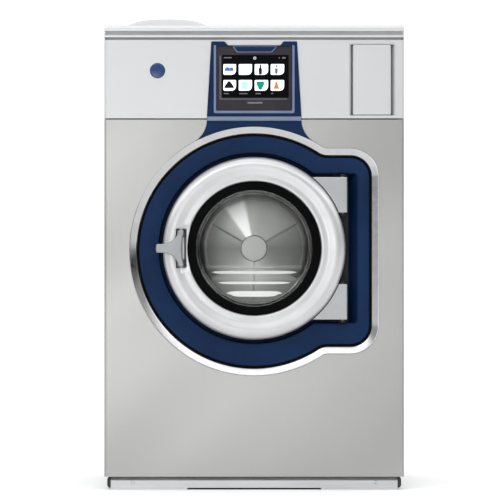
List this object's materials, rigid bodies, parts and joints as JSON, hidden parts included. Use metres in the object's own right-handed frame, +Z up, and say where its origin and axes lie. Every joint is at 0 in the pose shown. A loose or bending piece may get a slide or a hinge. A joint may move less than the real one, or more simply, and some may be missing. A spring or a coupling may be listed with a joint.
{
  "type": "front-loading washer extractor",
  "caption": "Free-standing commercial front-loading laundry machine with a round glass door, touch display, detergent drawer and spring-mounted drum.",
  "frame": {"origin": "centre of the footprint on the floor", "axes": "+Z up, -Y towards the front of the machine, +X to the right seen from the front"},
  "size_m": [0.72, 0.69, 1.145],
  "materials": {
    "base_steel": "galvanised base frame",
    "dark_plastic": "moulded, matt",
    "screw_steel": "zinc-plated",
    "side_paint": "light grey powder coat",
    "front_steel": "satin stainless sheet",
    "trim_steel": "polished bevel",
    "panel_silver": "silver paint",
    "cover_silver": "silver paint",
    "navy_plastic": "moulded, satin gloss",
    "frame_steel": "galvanised",
    "hinge_black": "black coated",
    "pin_steel": "ground",
    "ring_silver": "satin silver casting",
    "seal_rubber": "moulded EPDM",
    "glass": "clear borosilicate",
    "screen_glass": "gloss black",
    "bezel_plastic": "charcoal",
    "white_plastic": "moulded",
    "grey_plastic": "moulded",
    "hose_rubber": "moulded hose",
    "drum_steel": "stainless",
    "iron": "as cast, painted",
    "aluminium": "die cast",
    "spring_steel": "coated wire"
  },
  "bodies": {
    "cabinet": {"base_frame": "base_steel", "base_end_caps": "dark_plastic", "cabinet_screws": "screw_steel", "side_panel_left": "side_paint", "side_panel_right": "side_paint", "front_panel": "front_steel", "opening_trim": "trim_steel", "control_panel": "panel_silver", "top_cover": "cover_silver", "rear_panels": "side_paint", "door_surround": "navy_plastic", "inner_frame": "frame_steel", "hinge_bracket": "hinge_black", "hinge_pins": "pin_steel", "door_lock": "grey_plastic", "display_surround": "navy_plastic", "display_bezel": "bezel_plastic", "display_glass": "screen_glass", "display_housing": "dark_plastic", "drawer_frame": "panel_silver", "detergent_box": "grey_plastic", "inlet_valves_and_hoses": "grey_plastic", "tub_hoses": "hose_rubber", "drain_valve": "dark_plastic", "cable_gland": "grey_plastic", "control_box": "grey_plastic", "motor_drive": "aluminium", "springs": "spring_steel", "damper_tubes": "screw_steel", "door_gasket": "seal_rubber"},
    "lock_bolt": {"lock_bolt": "pin_steel"},
    "door": {"door_ring": "ring_silver", "door_back_ring": "frame_steel", "handle_bracket": "hinge_black", "latch_hook": "pin_steel", "door_screws": "screw_steel", "glass_seal": "seal_rubber", "door_glass": "glass", "hinge_arms": "ring_silver"},
    "handle": {"door_handle": "ring_silver"},
    "drawer": {"drawer_front": "panel_silver", "drawer_tray": "white_plastic"},
    "tub": {"tub_shell": "drum_steel", "tub_front_gable": "drum_steel", "tub_rear_gable": "drum_steel", "bearing_housing": "iron", "bearings_and_seal": "pin_steel", "counterweights": "iron", "heating_elements": "drum_steel", "tub_cradle": "frame_steel", "damper_rods": "pin_steel", "motor": "iron", "drive_belt": "hose_rubber"},
    "drum": {"drum_shell": "drum_steel", "drum_back": "drum_steel", "drum_lifters": "drum_steel", "drum_spider": "aluminium", "drum_shaft": "pin_steel", "drum_pulley": "iron"},
    "motor_rotor": {"motor_shaft_and_pulley": "pin_steel"}
  },
  "joints": [
    {"name": "door_swing", "type": "hinge", "parent": "cabinet", "child": "door", "pos_m": [0.212, -0.307, 0.5794], "axis": [0, 0, 1], "range_deg": [0, 140]},
    {"name": "handle_pull", "type": "hinge", "parent": "door", "child": "handle", "pos_m": [-0.176, -0.32, 0.5794], "axis": [0, 0, 1], "range_deg": [0, 28], "stiffness_Nm_per_rad": 1.2, "springref_deg": -8.59},
    {"name": "lock_bolt_slide", "type": "slide", "parent": "cabinet", "child": "lock_bolt", "axis": [0, 0, -1], "range_m": [0, 0.018], "stiffness_N_per_m": 150, "springref_m": -0.004},
    {"name": "drawer_slide", "type": "slide", "parent": "cabinet", "child": "drawer", "axis": [0, -1, 0], "range_m": [0, 0.2]},
    {"name": "tub_float", "type": "slide", "parent": "cabinet", "child": "tub", "axis": [0, 0, 1], "range_m": [-0.01, 0.01], "stiffness_N_per_m": 26000, "springref_m": 0.03647, "deforming": ["springs", "tub_hoses", "door_gasket"]},
    {"name": "drum_spin", "type": "hinge", "parent": "tub", "child": "drum", "pos_m": [0, -0.048, 0.5794], "axis": [0, 1, 0], "continuous": true},
    {"name": "motor_spin", "type": "hinge", "parent": "tub", "child": "motor_rotor", "pos_m": [-0.09, 0.202, 0.186], "axis": [0, 1, 0], "continuous": true}
  ],
  "couplings": [
    {"joint": "motor_spin", "follows": "drum_spin", "ratio": 7.599}
  ]
}
